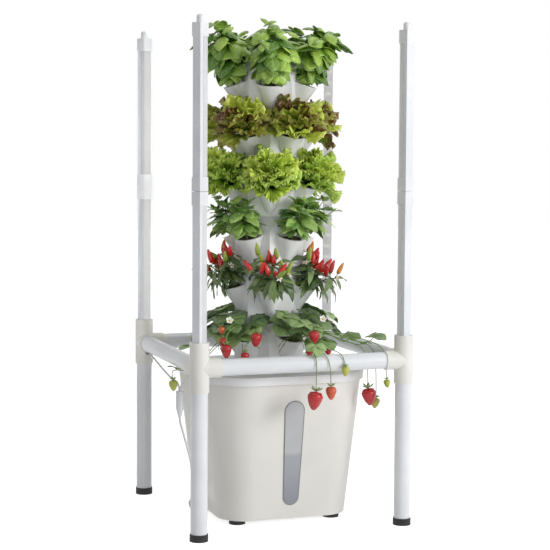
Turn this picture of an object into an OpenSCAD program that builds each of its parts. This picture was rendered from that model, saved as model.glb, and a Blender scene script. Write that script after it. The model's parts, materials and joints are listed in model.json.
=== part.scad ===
// Hydroponic tower: a planted column on a water tank, inside a pipe frame that carries four light poles.
// Millimetres, +Z up, front towards -Y.
// The origin is on the floor, at the centre of the frame and the column.

/* [Frame] */
// Distance between the axes of neighbouring legs
leg_spacing = 514; // [500:2:560]
// Outside diameter of legs and rails
pipe_dia = 40; // [38:1:42]
// Wall of legs and rails
pipe_wall = 2.5; // [2:0.5:3.5]
// Height of the rail axes above the floor
rail_height = 403; // [400:1:430]

/* [Lights] */
// Height of the flat top of the upper light cap
light_top = 1195; // [1150:5:1240]
// Side of the square light bar
bar_width = 24; // [21:1:25]
// Turn of the bars towards the column
light_aim = 45; // [30:5:60]

/* [Tank] */
// Width of the tank at its top
tank_width = 410; // [390:2:416]
// Width of the tank at its bottom
tank_base = 330; // [310:2:350]
// Height of the tank's top edge
tank_height = 360; // [340:2:362]
// Wall of the tank
tank_wall = 4; // [3:0.5:5]

/* [Column] */
// Height of one tier
tier_pitch = 125; // [123:1:130]
// Width of the column between the middle of a face and the axis, doubled
column_width = 146; // [142:1:150]
// Outside diameter of a pocket's rim
pocket_dia = 72; // [69:1:74]
// Outward tilt of a pocket
pocket_tilt = 18; // [16:1:20]

/* [Hidden] */
$fn = 48;
eps = 0.5;
half = leg_spacing / 2;
pipe_r = pipe_dia / 2;
tee_r = pipe_r + 3;
tee_low = rail_height - 56;
tee_high = rail_height + 60;
stop = 23;
branch_reach = 50;
branch_stop = 25;
cap_floor = 4;
corners = [[-1, -1], [1, -1], [-1, 1], [1, 1]];

// Light poles
foot_z = rail_height + stop;
bar_z = foot_z + 4;
seam_z = (foot_z + light_top) / 2;
cap_len = 32;
cap_w = bar_width + 3;
bar_skin = 2;
led_pitch = 30;
// Depth at which the clear cover meets the housing, and the groove there
seam_x = -2;
seam_w = 0.8;
// Turn of each pole by hand, away from its aim: front left, front right, back left, back right
hand_turn = [-16, -23, -14, 24];
stub_r = 9;
// Room round and under the foot for turning by hand
turn_room = 0.25;
rest_gap = 0.05;
// Half height and depth of the shadow line between the two middle caps
line_w = 0.5;
line_in = 4;

// Tank
foot_h = 12;
tank_foot_r = 20;
tank_foot_x = tank_base / 2 - 43;
tank_foot_y = tank_base / 2 - 38;
corner_mid = tank_width / 2 - 110;
lid_top = tank_height + 6;
function tank_half(z) = tank_base / 2 + (tank_width - tank_base) / 2 * (z - foot_h) / (tank_height - foot_h);

// Window in the tank's front
win_low = 66;
win_high = 280;
win_low_r = 18;
win_high_r = 23.5;
seal_w = 2.5;

// Column
tiers = 6;
sides = 5;
apothem = column_width / 2;
skin = 3;
base_z = lid_top + 3;
lip_z = 66;
rim_r = pocket_dia / 2;
lip_reach = 120;
rim_c = lip_reach - rim_r * cos(pocket_tilt);
rim_z = lip_z + rim_r * sin(pocket_tilt);
cup_angle = 19;
pocket_wall = 5;
drain_r = 58;
roof_z = 84;
fill_drop = 5;
function tier_z(k) = base_z + (tiers - k) * tier_pitch;
function tier_turn(k) = k % 2 == 1 ? 180 : 0;

// Fill flap in the lid
flap_x = tank_width / 2 - 77;
flap_y = tank_width / 2 - 87;
flap_w = 76;
flap_d = 58;
hinge_y = flap_y + flap_d / 2 + 4;
hinge_z = lid_top + 4;
pin_r = 2;

// Cords
lead_r = 2.5;
cord_r = 3;
lead_x = -half;
hub_y = -91;
hub_low = 262;
hub_high = 325;
gland_r = 5;
gland_len = 24;
gland_z = rail_height - tee_r - gland_r + 1.5;
rear_gland_y = half - branch_reach + 8;
front_gland_y = -rear_gland_y;
coil_x = 0;
coil_y = 222;
coil_out = 45;
coil_step = 2 * cord_r + 0.7;
coil_turns = 3;
plug_len = 46;

// Shared forms

module at_corners() {
    for (c = corners) translate([c[0] * half, c[1] * half, 0]) children();
}

module pipe(len, r, wall) {
    difference() {
        cylinder(h = len, r = r);
        translate([0, 0, -eps]) cylinder(h = len + 2 * eps, r = r - wall);
    }
}

// Rounded square block whose half width goes from h0 to h1
module block(h0, h1, z0, z1) {
    m = corner_mid;
    for (x = [-m, m], y = [-m, m]) translate([x, y, z0])
        cylinder(h = z1 - z0, r1 = h0 - m, r2 = h1 - m, $fn = 96);
    rotate([90, 0, 90]) linear_extrude(height = 2 * m, center = true)
        polygon([[-h0, z0], [h0, z0], [h1, z1], [-h1, z1]]);
    rotate([90, 0, 0]) linear_extrude(height = 2 * m, center = true)
        polygon([[-h0, z0], [h0, z0], [h1, z1], [-h1, z1]]);
}

// Upright slab with the tank's plan
module slab(h, z0, z1) translate([0, 0, z0]) linear_extrude(height = z1 - z0) {
    m = corner_mid;
    square([2 * m, 2 * h], center = true);
    square([2 * h, 2 * m], center = true);
    for (x = [-m, m], y = [-m, m]) translate([x, y]) circle(r = h - m, $fn = 96);
}

module tank_block(grow, z0, z1) {
    block(tank_half(z0) + grow, tank_half(z1) + grow, z0, z1);
}

// Points on a smooth curve through the given points
function curve_at(p, i, t) =
    let (a = p[max(i - 1, 0)], b = p[i], c = p[i + 1], d = p[min(i + 2, len(p) - 1)])
    0.5 * (2 * b + (c - a) * t + (2 * a - 5 * b + 4 * c - d) * t * t + (3 * b - a - 3 * c + d) * t * t * t);
function smooth(p, n) = [
    for (i = [0 : len(p) - 2], j = [0 : n - 1]) curve_at(p, i, j / n),
    p[len(p) - 1]
];
function unit(v) = v / norm(v);
function way(p, i) = unit(p[min(i + 1, len(p) - 1)] - p[max(i - 1, 0)]);

// Round tube along points; the first and last rings are square to first_way and last_way
module tube(p, r, n, first_way, last_way, side) {
    count = len(p);
    ring = [
        for (i = [0 : count - 1])
            let (
                w = i == 0 ? first_way : i == count - 1 ? last_way : way(p, i),
                u = unit(side - w * (side * w)),
                v = cross(w, u)
            )
            for (k = [0 : n - 1]) p[i] + r * (cos(360 * k / n) * u + sin(360 * k / n) * v)
    ];
    faces = concat(
        [[for (k = [0 : n - 1]) k]],
        [for (i = [0 : count - 2], k = [0 : n - 1])
            [i * n + k, (i + 1) * n + k, (i + 1) * n + (k + 1) % n, i * n + (k + 1) % n]],
        [[for (k = [n - 1 : -1 : 0]) (count - 1) * n + k]]
    );
    polyhedron(points = ring, faces = faces, convexity = 8);
}

// Frame

module legs() color("white") at_corners() translate([0, 0, cap_floor])
    pipe(rail_height - stop - cap_floor, pipe_r, pipe_wall);

module leg_caps() color("black") at_corners() difference() {
    cylinder(h = 17, r = pipe_r + 1.8);
    translate([0, 0, cap_floor]) cylinder(h = 17, r = pipe_r);
}

module rail() rotate([0, 90, 0]) translate([0, 0, branch_stop])
    pipe(leg_spacing - 2 * branch_stop, pipe_r, pipe_wall);

module rails() color("white") translate([0, 0, rail_height]) {
    for (y = [-half, half]) translate([-half, y, 0]) rail();
    for (x = [-half, half]) translate([x, -half, 0]) rotate([0, 0, 90]) rail();
}

// Four-way corner fitting: an upright run and two level branches
module tee(c) translate([c[0] * half, c[1] * half, 0]) difference() {
    union() {
        translate([0, 0, tee_low]) cylinder(h = tee_high - tee_low, r = tee_r);
        for (a = [c[0] > 0 ? 180 : 0, c[1] > 0 ? -90 : 90])
            translate([0, 0, rail_height]) rotate([0, 90, a]) cylinder(h = branch_reach, r = tee_r);
    }
    translate([0, 0, tee_low - eps]) cylinder(h = rail_height - stop - tee_low + eps, r = pipe_r);
    translate([0, 0, rail_height + stop]) cylinder(h = tee_high - rail_height, r = pipe_r);
    translate([0, 0, tee_low]) cylinder(h = tee_high - tee_low, r = pipe_r - 3.5);
    for (a = [c[0] > 0 ? 180 : 0, c[1] > 0 ? -90 : 90]) translate([0, 0, rail_height]) rotate([0, 90, a]) {
        cylinder(h = branch_reach, r = pipe_r - 3.5);
        translate([0, 0, branch_stop]) cylinder(h = branch_reach, r = pipe_r);
    }
}

module tee_fl() color("ivory") difference() {
    tee([-1, -1]);
    gland_front();
}
module tee_fr() color("ivory") tee([1, -1]);
module tee_bl() color("ivory") difference() {
    tee([-1, 1]);
    gland_rear();
}
module tee_br() color("ivory") tee([1, 1]);

// Light poles; each is drawn at the axis with its lens towards +X

module at_pole(c) {
    k = (c[0] > 0 ? 1 : 0) + (c[1] > 0 ? 2 : 0);
    aims = [light_aim, 180 - light_aim, -light_aim, 180 + light_aim];
    translate([c[0] * half, c[1] * half, 0]) rotate([0, 0, aims[k] + hand_turn[k]]) children();
}

module bar_box(x0, x1, w, z0, z1) translate([x0, -w / 2, z0]) cube([x1 - x0, w, z1 - z0]);

// Closed channel that is the wire duct, grooved along the seam
module bar_housing(z0, z1) difference() {
    bar_box(-bar_width / 2, seam_x, bar_width, z0, z1);
    bar_box(-bar_width / 2 + bar_skin, seam_x - bar_skin, bar_width - 2 * bar_skin, z0 - eps, z1 + eps);
    for (s = [-1, 1]) translate([0, s * bar_width / 2, 0])
        bar_box(seam_x - seam_w, seam_x + eps, 2 * seam_w, z0 - eps, z1 + eps);
}

// Clear cover that goes round the lamps on three sides
module bar_lens(z0, z1) difference() {
    bar_box(seam_x, bar_width / 2, bar_width, z0, z1);
    bar_box(seam_x - eps, bar_width / 2 - bar_skin, bar_width - 2 * bar_skin, z0 - eps, z1 + eps);
}

module bar_board(z0, z1) {
    bar_box(seam_x, seam_x + 1.6, bar_width - 8, z0, z1);
    n = floor((z1 - z0 - 2 * cap_len) / led_pitch);
    for (i = [0 : n]) {
        z = (z0 + z1) / 2 + (i - n / 2) * led_pitch;
        bar_box(seam_x + 1.6, seam_x + 2.6, 6, z - 3, z + 3);
    }
}

module end_cap(z0, up) difference() {
    bar_box(-cap_w / 2, cap_w / 2, cap_w, z0, z0 + cap_len);
    low = up ? z0 - eps : z0 + 4;
    high = up ? z0 + cap_len - 4 : z0 + cap_len + eps;
    bar_box(-bar_width / 2, bar_width / 2, bar_width, low, high);
}

// Caps of the lower and the upper bar, end to end
module middle_caps() difference() {
    union() {
        end_cap(seam_z - cap_len, true);
        end_cap(seam_z + 0.3, false);
    }
    difference() {
        bar_box(-cap_w, cap_w, 2 * cap_w, seam_z - line_w, seam_z + 0.3 + line_w);
        bar_box(-cap_w / 2 + line_in, cap_w / 2 - line_in, cap_w - 2 * line_in, seam_z - 3, seam_z + 3.3);
    }
}

// Round foot that turns in the fitting and grips the lower bar
module pole_foot() difference() {
    translate([0, 0, foot_z + rest_gap])
        cylinder(h = tee_high - 1 - foot_z - rest_gap, r = pipe_r - turn_room);
    bar_box(-bar_width / 2, bar_width / 2, bar_width, bar_z, tee_high);
    translate([0, 0, foot_z - eps]) cylinder(h = 6, r = 5);
}

module pole_bars(c) color("whitesmoke") at_pole(c) {
    bar_housing(bar_z, seam_z - 4);
    bar_housing(seam_z + 4.3, light_top - 4);
}
module pole_lenses(c) color("azure") at_pole(c) {
    bar_lens(bar_z, seam_z - 4);
    bar_lens(seam_z + 4.3, light_top - 4);
}
module pole_leds(c) color("gold") at_pole(c) {
    bar_board(bar_z, seam_z - 4);
    bar_board(seam_z + 4.3, light_top - 4);
}
module pole_caps(c) color("gainsboro") at_pole(c) {
    pole_foot();
    middle_caps();
    end_cap(light_top - cap_len, true);
    translate([0, 0, light_top]) cylinder(h = 14, r = stub_r);
    translate([0, 0, light_top + 14]) cylinder(h = 4, r1 = stub_r, r2 = stub_r - 2.5);
}

// Tank

module window_shape(grow) {
    translate([0, win_low]) circle(r = win_low_r + grow);
    translate([0, win_high]) circle(r = win_high_r + grow);
    polygon([[-win_low_r - grow, win_low], [win_low_r + grow, win_low],
        [win_high_r + grow, win_high], [-win_high_r - grow, win_high]]);
}

module window_prism(grow) translate([0, -tank_base / 2 + 30, 0]) rotate([90, 0, 0])
    linear_extrude(height = tank_width) window_shape(grow);

module tank() color("linen") difference() {
    tank_block(0, foot_h, tank_height);
    tank_block(-tank_wall, foot_h + tank_wall, tank_height + 1);
    window_prism(seal_w);
}

module tank_window() color("slategray") intersection() {
    difference() {
        tank_block(1.5, foot_h, tank_height);
        tank_block(-tank_wall, foot_h, tank_height);
    }
    window_prism(0);
}

module window_seal() color("dimgray") intersection() {
    difference() {
        tank_block(1, foot_h, tank_height);
        tank_block(-tank_wall, foot_h, tank_height);
    }
    difference() {
        window_prism(seal_w);
        window_prism(0);
    }
}

module tank_feet() color("black") for (x = [-1, 1], y = [-1, 1])
    translate([x * tank_foot_x, y * tank_foot_y, 0]) cylinder(h = foot_h, r = tank_foot_r);

module lid() color("white") difference() {
    union() {
        slab(tank_width / 2 + 5, tank_height - 13, tank_height + 2);
        slab(tank_width / 2 + 3.5, tank_height + 1, lid_top);
        for (s = [-1, 1]) translate([flap_x + s * (flap_w / 2 - 6), hinge_y, 0]) {
            translate([-4, -4, lid_top - 1]) cube([8, 8, 5]);
            translate([-4, 0, hinge_z]) rotate([0, 90, 0]) cylinder(h = 8, r = 4);
        }
    }
    slab(tank_width / 2 + 1, tank_height - 14, tank_height);
    translate([0, 0, tank_height - 1]) cylinder(h = 12, r = drain_r - 6);
    translate([flap_x - flap_w / 2 + 8, flap_y - flap_d / 2 + 8, tank_height - 1])
        cube([flap_w - 16, flap_d - 16, 12]);
    translate([flap_x - flap_w / 2, hinge_y, hinge_z]) rotate([0, 90, 0]) cylinder(h = flap_w, r = pin_r);
}

// Hinged lid over the filling opening
module fill_flap() color("white") difference() {
    union() {
        translate([flap_x - flap_w / 2, flap_y - flap_d / 2, lid_top]) cube([flap_w, flap_d - 1, 3]);
        translate([flap_x - 14, flap_y - flap_d / 2 - 5, lid_top]) cube([28, 6, 3]);
        translate([flap_x - flap_w / 2 + 12, flap_y + flap_d / 2 - 4, lid_top + 1])
            cube([flap_w - 24, 8, 3.5]);
        translate([flap_x - flap_w / 2 + 12, hinge_y, hinge_z]) rotate([0, 90, 0])
            cylinder(h = flap_w - 24, r = 3.4);
    }
    translate([flap_x - flap_w / 2, hinge_y, hinge_z]) rotate([0, 90, 0])
        cylinder(h = flap_w, r = pin_r + 0.05);
}

module flap_pin() color("silver") translate([flap_x - flap_w / 2 + 2, hinge_y, hinge_z])
    rotate([0, 90, 0]) cylinder(h = flap_w - 4, r = pin_r);

// Water lift inside the tank and column

pump_z = foot_h + tank_wall;

module pump() color("dimgray") {
    difference() {
        translate([0, 0, pump_z]) cylinder(h = 46, r = 32);
        translate([0, 0, pump_z + 5]) cylinder(h = 20, r = 24);
        translate([0, 0, pump_z + 20]) cylinder(h = 30, r = 8);
        for (a = [0 : 30 : 150]) rotate([0, 0, a]) translate([-40, -2, pump_z + 8]) cube([80, 4, 14]);
    }
    translate([0, 0, pump_z + 4]) cylinder(h = 19, r = 2.5);
}

module impeller() color("white") translate([0, 0, pump_z + 6]) difference() {
    union() {
        cylinder(h = 16, r = 7);
        for (a = [0 : 60 : 150]) rotate([0, 0, a]) translate([-20, -1.2, 1]) cube([40, 2.4, 14]);
    }
    translate([0, 0, -1]) cylinder(h = 18, r = 2.55);
}

riser_low = pump_z + 46;
drip_z = tier_z(1) + tier_pitch - 12;

module riser() color("gainsboro") translate([0, 0, riser_low]) pipe(drip_z - riser_low, 11, 2);

// Perforated head that spreads the water over the pockets
module drip_head() color("white") difference() {
    union() {
        translate([0, 0, drip_z]) cylinder(h = 4, r = 50);
        translate([0, 0, drip_z + 4]) pipe(6, 50, 3);
    }
    translate([0, 0, drip_z - 1]) cylinder(h = 6, r = 6);
    for (a = [18 : 36 : 360]) rotate([0, 0, a]) translate([42, 0, drip_z - 1]) cylinder(h = 6, r = 2);
}

module collar() color("white") difference() {
    union() {
        translate([0, 0, tank_height - 8]) cylinder(h = 14, r = drain_r - 6);
        translate([0, 0, lid_top]) cylinder(h = base_z - lid_top, r = drain_r + 12);
        translate([0, 0, base_z - 1]) cylinder(h = 7, r = drain_r - 0.1);
    }
    translate([0, 0, tank_height - 9]) cylinder(h = 40, r = drain_r - 10);
}

// Column tiers

module face_prism(a, h) rotate([0, 0, 180 / sides]) cylinder(h = h, r = a / cos(180 / sides), $fn = sides);

module roof(shrink, top) {
    cylinder(h = roof_z, r = 100);
    translate([0, 0, roof_z]) cylinder(h = top - roof_z, r1 = 94 - shrink, r2 = 62 - shrink);
}

// Tilted cone whose point is down; its rim is square to its axis
module cup_cone(r, drop) translate([rim_c, 0, rim_z]) rotate([0, pocket_tilt, 0])
    translate([0, 0, -r / tan(cup_angle)])
        cylinder(h = r / tan(cup_angle) - drop, r1 = 0, r2 = r - drop * tan(cup_angle));

module outside(from) translate([from, -80, 0]) cube([120, 160, 200]);

module tier_form() difference() {
    union() {
        difference() {
            intersection() {
                face_prism(apothem, tier_pitch);
                roof(0, tier_pitch);
            }
            intersection() {
                translate([0, 0, skin]) face_prism(apothem - skin, tier_pitch);
                roof(skin + 1, tier_pitch);
            }
            translate([0, 0, -1]) cylinder(h = tier_pitch + 2, r = drain_r);
        }
        difference() {
            union() {
                translate([0, 0, tier_pitch - 6]) cylinder(h = 5, r = drain_r + 3);
                translate([0, 0, tier_pitch - 2]) cylinder(h = 8, r = drain_r - 0.1);
            }
            translate([0, 0, tier_pitch - 7]) cylinder(h = 14, r = drain_r - 4);
        }
        for (i = [0 : sides - 1]) rotate([0, 0, i * 360 / sides]) intersection() {
            cup_cone(rim_r, 0);
            outside(apothem - 1);
        }
    }
    for (i = [0 : sides - 1]) rotate([0, 0, i * 360 / sides]) {
        intersection() {
            cup_cone(rim_r - pocket_wall, -1);
            outside(apothem - 0.5);
        }
        translate([apothem - 20, 0, 42]) rotate([0, 90, 0]) cylinder(h = 24, r = 7);
    }
}

module tier(k) color("white") translate([0, 0, tier_z(k)]) rotate([0, 0, tier_turn(k)]) tier_form();

module top_cap() color("white") translate([0, 0, tier_z(1) + tier_pitch]) difference() {
    union() {
        cylinder(h = 9, r = 63);
        translate([0, 0, 9]) cylinder(h = 12, r1 = 63, r2 = 34);
        translate([0, 0, 21]) cylinder(h = 10, r1 = 9, r2 = 12);
    }
    translate([0, 0, -1]) cylinder(h = 8, r = drain_r + 0.3);
    translate([0, 0, 7]) cylinder(h = 10, r1 = drain_r + 0.3, r2 = 34);
}

// Growing medium that fills each pocket to just under its rim
module medium() color("saddlebrown") for (k = [1 : tiers]) translate([0, 0, tier_z(k)])
    for (i = [0 : sides - 1]) rotate([0, 0, tier_turn(k) + i * 360 / sides]) intersection() {
        cup_cone(rim_r - pocket_wall, fill_drop);
        outside(apothem - 0.5);
    }

// Planting: five plants to a tier, each of stems with flat leaves
// A spray is [first height, last height, arc, first tilt, last tilt, first length, last length]

stem_x = apothem + 20;
stem_z = rim_z - (stem_x - rim_c) * tan(pocket_tilt) - fill_drop / cos(pocket_tilt);
blade = 2;
stem_r = 2.5;
sink = 6;

function between(a, b, t) = a + (b - a) * t;

// Pointed oval between two arcs, from the origin along +X
module leaf(len, slim) {
    wide = len * slim;
    bow = (len * len + wide * wide) / (4 * wide);
    linear_extrude(height = blade) intersection() {
        translate([len / 2, bow - wide / 2]) circle(r = bow);
        translate([len / 2, wide / 2 - bow]) circle(r = bow);
    }
}

// Leaves that climb a stem, turning from side to side within an arc about +X
module spray(n, slim, s) for (j = [0 : n - 1]) {
    t = n > 1 ? j / (n - 1) : 0;
    swing = (j * 0.618 + 0.5) % 1 - 0.5;
    translate([0, 0, between(s[0], s[1], t) + sink]) rotate([0, -between(s[3], s[4], t), s[2] * swing + 7])
        leaf(between(s[5], s[6], t), slim);
}

module stem(high) cylinder(h = high + sink + blade, r = stem_r, $fn = 24);

// Growth of the plants with the room that a tier gives them
grow = tier_pitch / 125;

// Five plants of a tier; each stem is cut level with the medium
module planting(k, lean, high) translate([0, 0, tier_z(k)])
    for (i = [0 : sides - 1]) rotate([0, 0, tier_turn(k) + i * 360 / sides])
        translate([stem_x, 0, stem_z]) rotate([0, pocket_tilt, 0]) scale(grow) {
            intersection() {
                rotate([0, lean, 0]) translate([0, 0, -sink]) stem(high);
                translate([-150, -150, 0]) cube([300, 300, 300]);
            }
            rotate([0, lean, 0]) translate([0, 0, -sink]) children();
        }

module basil() color("green") planting(1, 6, 134)
    spray(9, 0.72, [46, 134, 205, -14, 46, 60, 36]);

module red_lettuce() color("olive") planting(2, 16, 24)
    spray(8, 0.74, [9, 24, 165, 18, 64, 72, 88]);

module green_lettuce() color("yellowgreen") planting(3, 16, 24)
    spray(8, 0.74, [9, 24, 165, 16, 62, 72, 88]);

module mint() color("forestgreen") planting(4, 18, 92)
    spray(10, 0.6, [18, 92, 170, 6, 48, 50, 32]);

// Upright pods stand among the narrow leaves
module pods() for (a = [-70, -10, 55]) rotate([0, 0, a]) translate([0, 0, 66 + sink]) rotate([0, 52, 0]) {
    cylinder(h = 30, r = 1.6, $fn = 24);
    translate([0, 0, 28]) cylinder(h = 26, r1 = 5.5, r2 = 1);
}

module chilli() color("darkgreen") planting(5, 18, 86) {
    spray(10, 0.36, [22, 86, 175, -8, 40, 72, 46]);
    pods();
}

// A long stalk with three leaflets at its end
module trefoil(turn, tilt, reach, size)
    rotate([0, 0, turn]) translate([0, 0, sink + 4]) rotate([0, tilt, 0]) {
    cylinder(h = reach + 3, r = 1.8, $fn = 12);
    for (i = [0 : 2]) translate([0, 0, reach - 3 * i])
        rotate([0, 60 - tilt + 9 * i, 0]) rotate([0, 0, 71 * (i - 1)]) leaf(size, 0.78, $fn = 24);
}

// A berry hangs on a stalk over the rim
module truss(turn, reach, drop) rotate([0, 0, turn]) translate([0, 0, sink + 5]) rotate([0, 50, 0]) {
    cylinder(h = reach + 1, r = 1.6, $fn = 12);
    translate([0, 0, reach]) rotate([0, 92, 0]) {
        cylinder(h = drop, r = 1.5, $fn = 12);
        translate([0, 0, drop - 1]) cylinder(h = 6, r1 = 3, r2 = 10, $fn = 24);
        translate([0, 0, drop + 5]) cylinder(h = 14, r1 = 10, r2 = 3, $fn = 24);
    }
}

module strawberry() color("seagreen") planting(6, 16, 12) {
    for (j = [0 : 4]) trefoil(42 * (j - 2) + 5, 30 - 11 * (j % 2), 50 + 9 * (j % 3), 40);
    truss(-20, 60, 34);
    truss(31, 54, 24);
}

// Cords

// Tapered strain relief under a fitting, thick end towards it
module gland() cylinder(h = gland_len, r1 = gland_r, r2 = lead_r + 0.8);
module gland_rear() translate([lead_x, rear_gland_y + gland_len / 2, gland_z]) rotate([90, 0, 0]) gland();
module gland_front() translate([lead_x, front_gland_y - gland_len / 2, gland_z]) rotate([-90, 0, 0]) gland();
module lead_glands() color("dimgray") {
    gland_rear();
    gland_front();
}

function lead_points(yz) = [for (p = yz) [lead_x, p[0], p[1]]];
down = [0, 0, -1];

rear_path = lead_points([
    [rear_gland_y - gland_len / 2, gland_z], [190, gland_z - 0.5],
    [160, 373], [120, 366], [80, 359], [40, 352.5],
    [0, 347.5], [-30, 345], [-55, 344], [-70, 341.5], [-80, 336.5], [-85.5, 331], [hub_y + 4.2, hub_high]
]);
front_path = lead_points([
    [front_gland_y + gland_len / 2, gland_z], [-190, gland_z - 0.5], [-172, 372.5], [-154, 365], [-138, 357],
    [-122, 350], [-110, 344.5], [-102, 338.5], [-96.8, 332], [hub_y - 4.2, hub_high]
]);
front_way = [0, 1, 0];

module lead_rear() color("silver") tube(smooth(rear_path, 3), lead_r, 8, -front_way, down, [1, 0, 0]);
module lead_front() color("silver") tube(smooth(front_path, 3), lead_r, 8, front_way, down, [1, 0, 0]);

// Moulded joint where the two lamp leads meet the supply cord
module hub() color("whitesmoke") translate([lead_x, hub_y, 0]) {
    translate([0, 0, hub_high - 7]) cylinder(h = 7, r = 10);
    translate([0, 0, hub_high - 10]) cylinder(h = 3, r = 8.6);
    translate([0, 0, hub_low + 22]) cylinder(h = hub_high - 10 - hub_low - 22, r = 9.5);
    translate([0, 0, hub_low]) cylinder(h = 22, r1 = 4.2, r2 = 9.5);
}

lay_z = cord_r + 0.9;
supply_path = [
    [lead_x, hub_y, hub_low], [lead_x + 1, hub_y - 1, hub_low - 14], [lead_x + 7, -102, 220],
    [-241, -114, 178], [-231, -122, 130], [-223, -122, 80], [-216, -116, 36], [-209, -104, 11],
    [-203, -86, lay_z], [-197, -50, lay_z], [-193, 0, lay_z], [-186, 60, lay_z], [-168, 122, lay_z],
    [-130, 162, lay_z], [-84, 176, lay_z],
    [-40, coil_y - coil_out, lay_z], [coil_x, coil_y - coil_out, lay_z]
];
module supply_cord() color("silver")
    tube(smooth(supply_path, 4), cord_r, 8, down, [1, 0, 0], [0.3, 1, 0.2]);

// Flat coil: inwards on the floor, up one layer in half a turn, then outwards to the plug
coil_in = coil_out - coil_turns * coil_step;
coil_end = 2 * coil_turns + 0.5;
coil_dip = 2.4;
function coil_r(t) =
    t < coil_turns ? coil_out - coil_step * t :
    t < coil_turns + 0.5 ? coil_in - coil_dip * sin(360 * (t - coil_turns)) :
    coil_in + coil_step * (t - coil_turns - 0.5);
function coil_h(t) = lay_z + coil_step * min(1, max(0, (t - coil_turns) / 0.5));
function coil_at(t) = [
    coil_x + coil_r(t) * cos(360 * t - 90),
    coil_y + coil_r(t) * sin(360 * t - 90),
    coil_h(t)
];
tail_len = 34;
coil_path = concat(
    [for (i = [0 : 24 * coil_end]) coil_at(i / 24)],
    [for (s = [tail_len / 2, tail_len]) [coil_x - s, coil_y + coil_out, lay_z + coil_step]]
);
module cord_coil() color("silver") tube(coil_path, cord_r, 6, [1, 0, 0], [-1, 0, 0], [0, 0, 1]);

// Least gap between loops, for points more than half a turn apart
coil_gap = min([for (i = [0 : 2 : 24 * coil_end - 13], j = [i + 12 : 24 * coil_end])
    norm(coil_at(i / 24) - coil_at(j / 24))]) - 2 * cord_r;
echo(coil_gap = coil_gap);

// Strap round the turns, on the right of the coil
tie_wide = 9;
tie_gap = 0.2;
tie_thick = 0.7;
tie_in = coil_in - coil_dip - cord_r - tie_gap;
tie_out = coil_out + cord_r + tie_gap;
tie_low = lay_z - cord_r - tie_gap;
tie_high = lay_z + coil_step + cord_r + tie_gap;
module coil_tie() color("black") translate([coil_x, coil_y - tie_wide / 2, 0]) difference() {
    translate([tie_in - tie_thick, 0, tie_low - tie_thick])
        cube([tie_out - tie_in + 2 * tie_thick, tie_wide, tie_high - tie_low + 2 * tie_thick]);
    translate([tie_in, -1, tie_low]) cube([tie_out - tie_in, tie_wide + 2, tie_high - tie_low]);
}

plug_r = lay_z + coil_step;
module plug() color("whitesmoke")
    translate([coil_x - tail_len, coil_y + coil_out, plug_r]) rotate([0, -90, 0]) {
    cylinder(h = 14, r1 = 4, r2 = plug_r - 1);
    translate([0, 0, 14]) cylinder(h = plug_len - 20, r = plug_r - 0.2);
    for (y = [-5, 5]) translate([0, y, plug_len - 6]) cylinder(h = 18, r = 2);
}

module tier_1() tier(1);
module tier_2() tier(2);
module tier_3() tier(3);
module tier_4() tier(4);
module tier_5() tier(5);
module tier_6() tier(6);

module pole_fl_bars() pole_bars([-1, -1]);
module pole_fl_lenses() pole_lenses([-1, -1]);
module pole_fl_leds() pole_leds([-1, -1]);
module pole_fl_caps() pole_caps([-1, -1]);
module pole_fr_bars() pole_bars([1, -1]);
module pole_fr_lenses() pole_lenses([1, -1]);
module pole_fr_leds() pole_leds([1, -1]);
module pole_fr_caps() pole_caps([1, -1]);
module pole_bl_bars() pole_bars([-1, 1]);
module pole_bl_lenses() pole_lenses([-1, 1]);
module pole_bl_leds() pole_leds([-1, 1]);
module pole_bl_caps() pole_caps([-1, 1]);
module pole_br_bars() pole_bars([1, 1]);
module pole_br_lenses() pole_lenses([1, 1]);
module pole_br_leds() pole_leds([1, 1]);
module pole_br_caps() pole_caps([1, 1]);

legs();
leg_caps();
rails();
tee_fl();
tee_fr();
tee_bl();
tee_br();
pole_fl_bars();
pole_fl_lenses();
pole_fl_leds();
pole_fl_caps();
pole_fr_bars();
pole_fr_lenses();
pole_fr_leds();
pole_fr_caps();
pole_bl_bars();
pole_bl_lenses();
pole_bl_leds();
pole_bl_caps();
pole_br_bars();
pole_br_lenses();
pole_br_leds();
pole_br_caps();
tank();
tank_window();
window_seal();
tank_feet();
lid();
fill_flap();
flap_pin();
pump();
impeller();
riser();
drip_head();
collar();
tier_1();
tier_2();
tier_3();
tier_4();
tier_5();
tier_6();
top_cap();
medium();
basil();
red_lettuce();
green_lettuce();
mint();
chilli();
strawberry();
lead_glands();
lead_rear();
lead_front();
hub();
supply_cord();
cord_coil();
coil_tie();
plug();
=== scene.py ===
# Hydroponic tower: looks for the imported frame, in metres, front towards -Y

import json
import math
import random
from collections import namedtuple

import bpy
from mathutils import Matrix, Vector, noise


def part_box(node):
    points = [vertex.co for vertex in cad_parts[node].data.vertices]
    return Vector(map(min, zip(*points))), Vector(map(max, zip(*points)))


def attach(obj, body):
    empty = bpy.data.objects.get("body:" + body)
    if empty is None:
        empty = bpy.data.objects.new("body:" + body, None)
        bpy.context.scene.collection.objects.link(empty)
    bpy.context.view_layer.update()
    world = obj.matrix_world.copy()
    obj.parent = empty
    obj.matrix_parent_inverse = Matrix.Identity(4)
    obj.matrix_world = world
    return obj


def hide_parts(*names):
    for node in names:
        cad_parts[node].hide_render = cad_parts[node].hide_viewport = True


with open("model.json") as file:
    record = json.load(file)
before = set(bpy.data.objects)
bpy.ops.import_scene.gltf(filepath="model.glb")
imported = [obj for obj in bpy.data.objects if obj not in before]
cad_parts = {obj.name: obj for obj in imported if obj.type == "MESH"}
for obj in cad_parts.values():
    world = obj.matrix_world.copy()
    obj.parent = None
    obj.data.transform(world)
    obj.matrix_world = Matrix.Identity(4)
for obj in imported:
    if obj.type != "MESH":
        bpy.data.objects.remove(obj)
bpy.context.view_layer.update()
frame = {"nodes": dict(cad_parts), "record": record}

MM = 0.001
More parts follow.
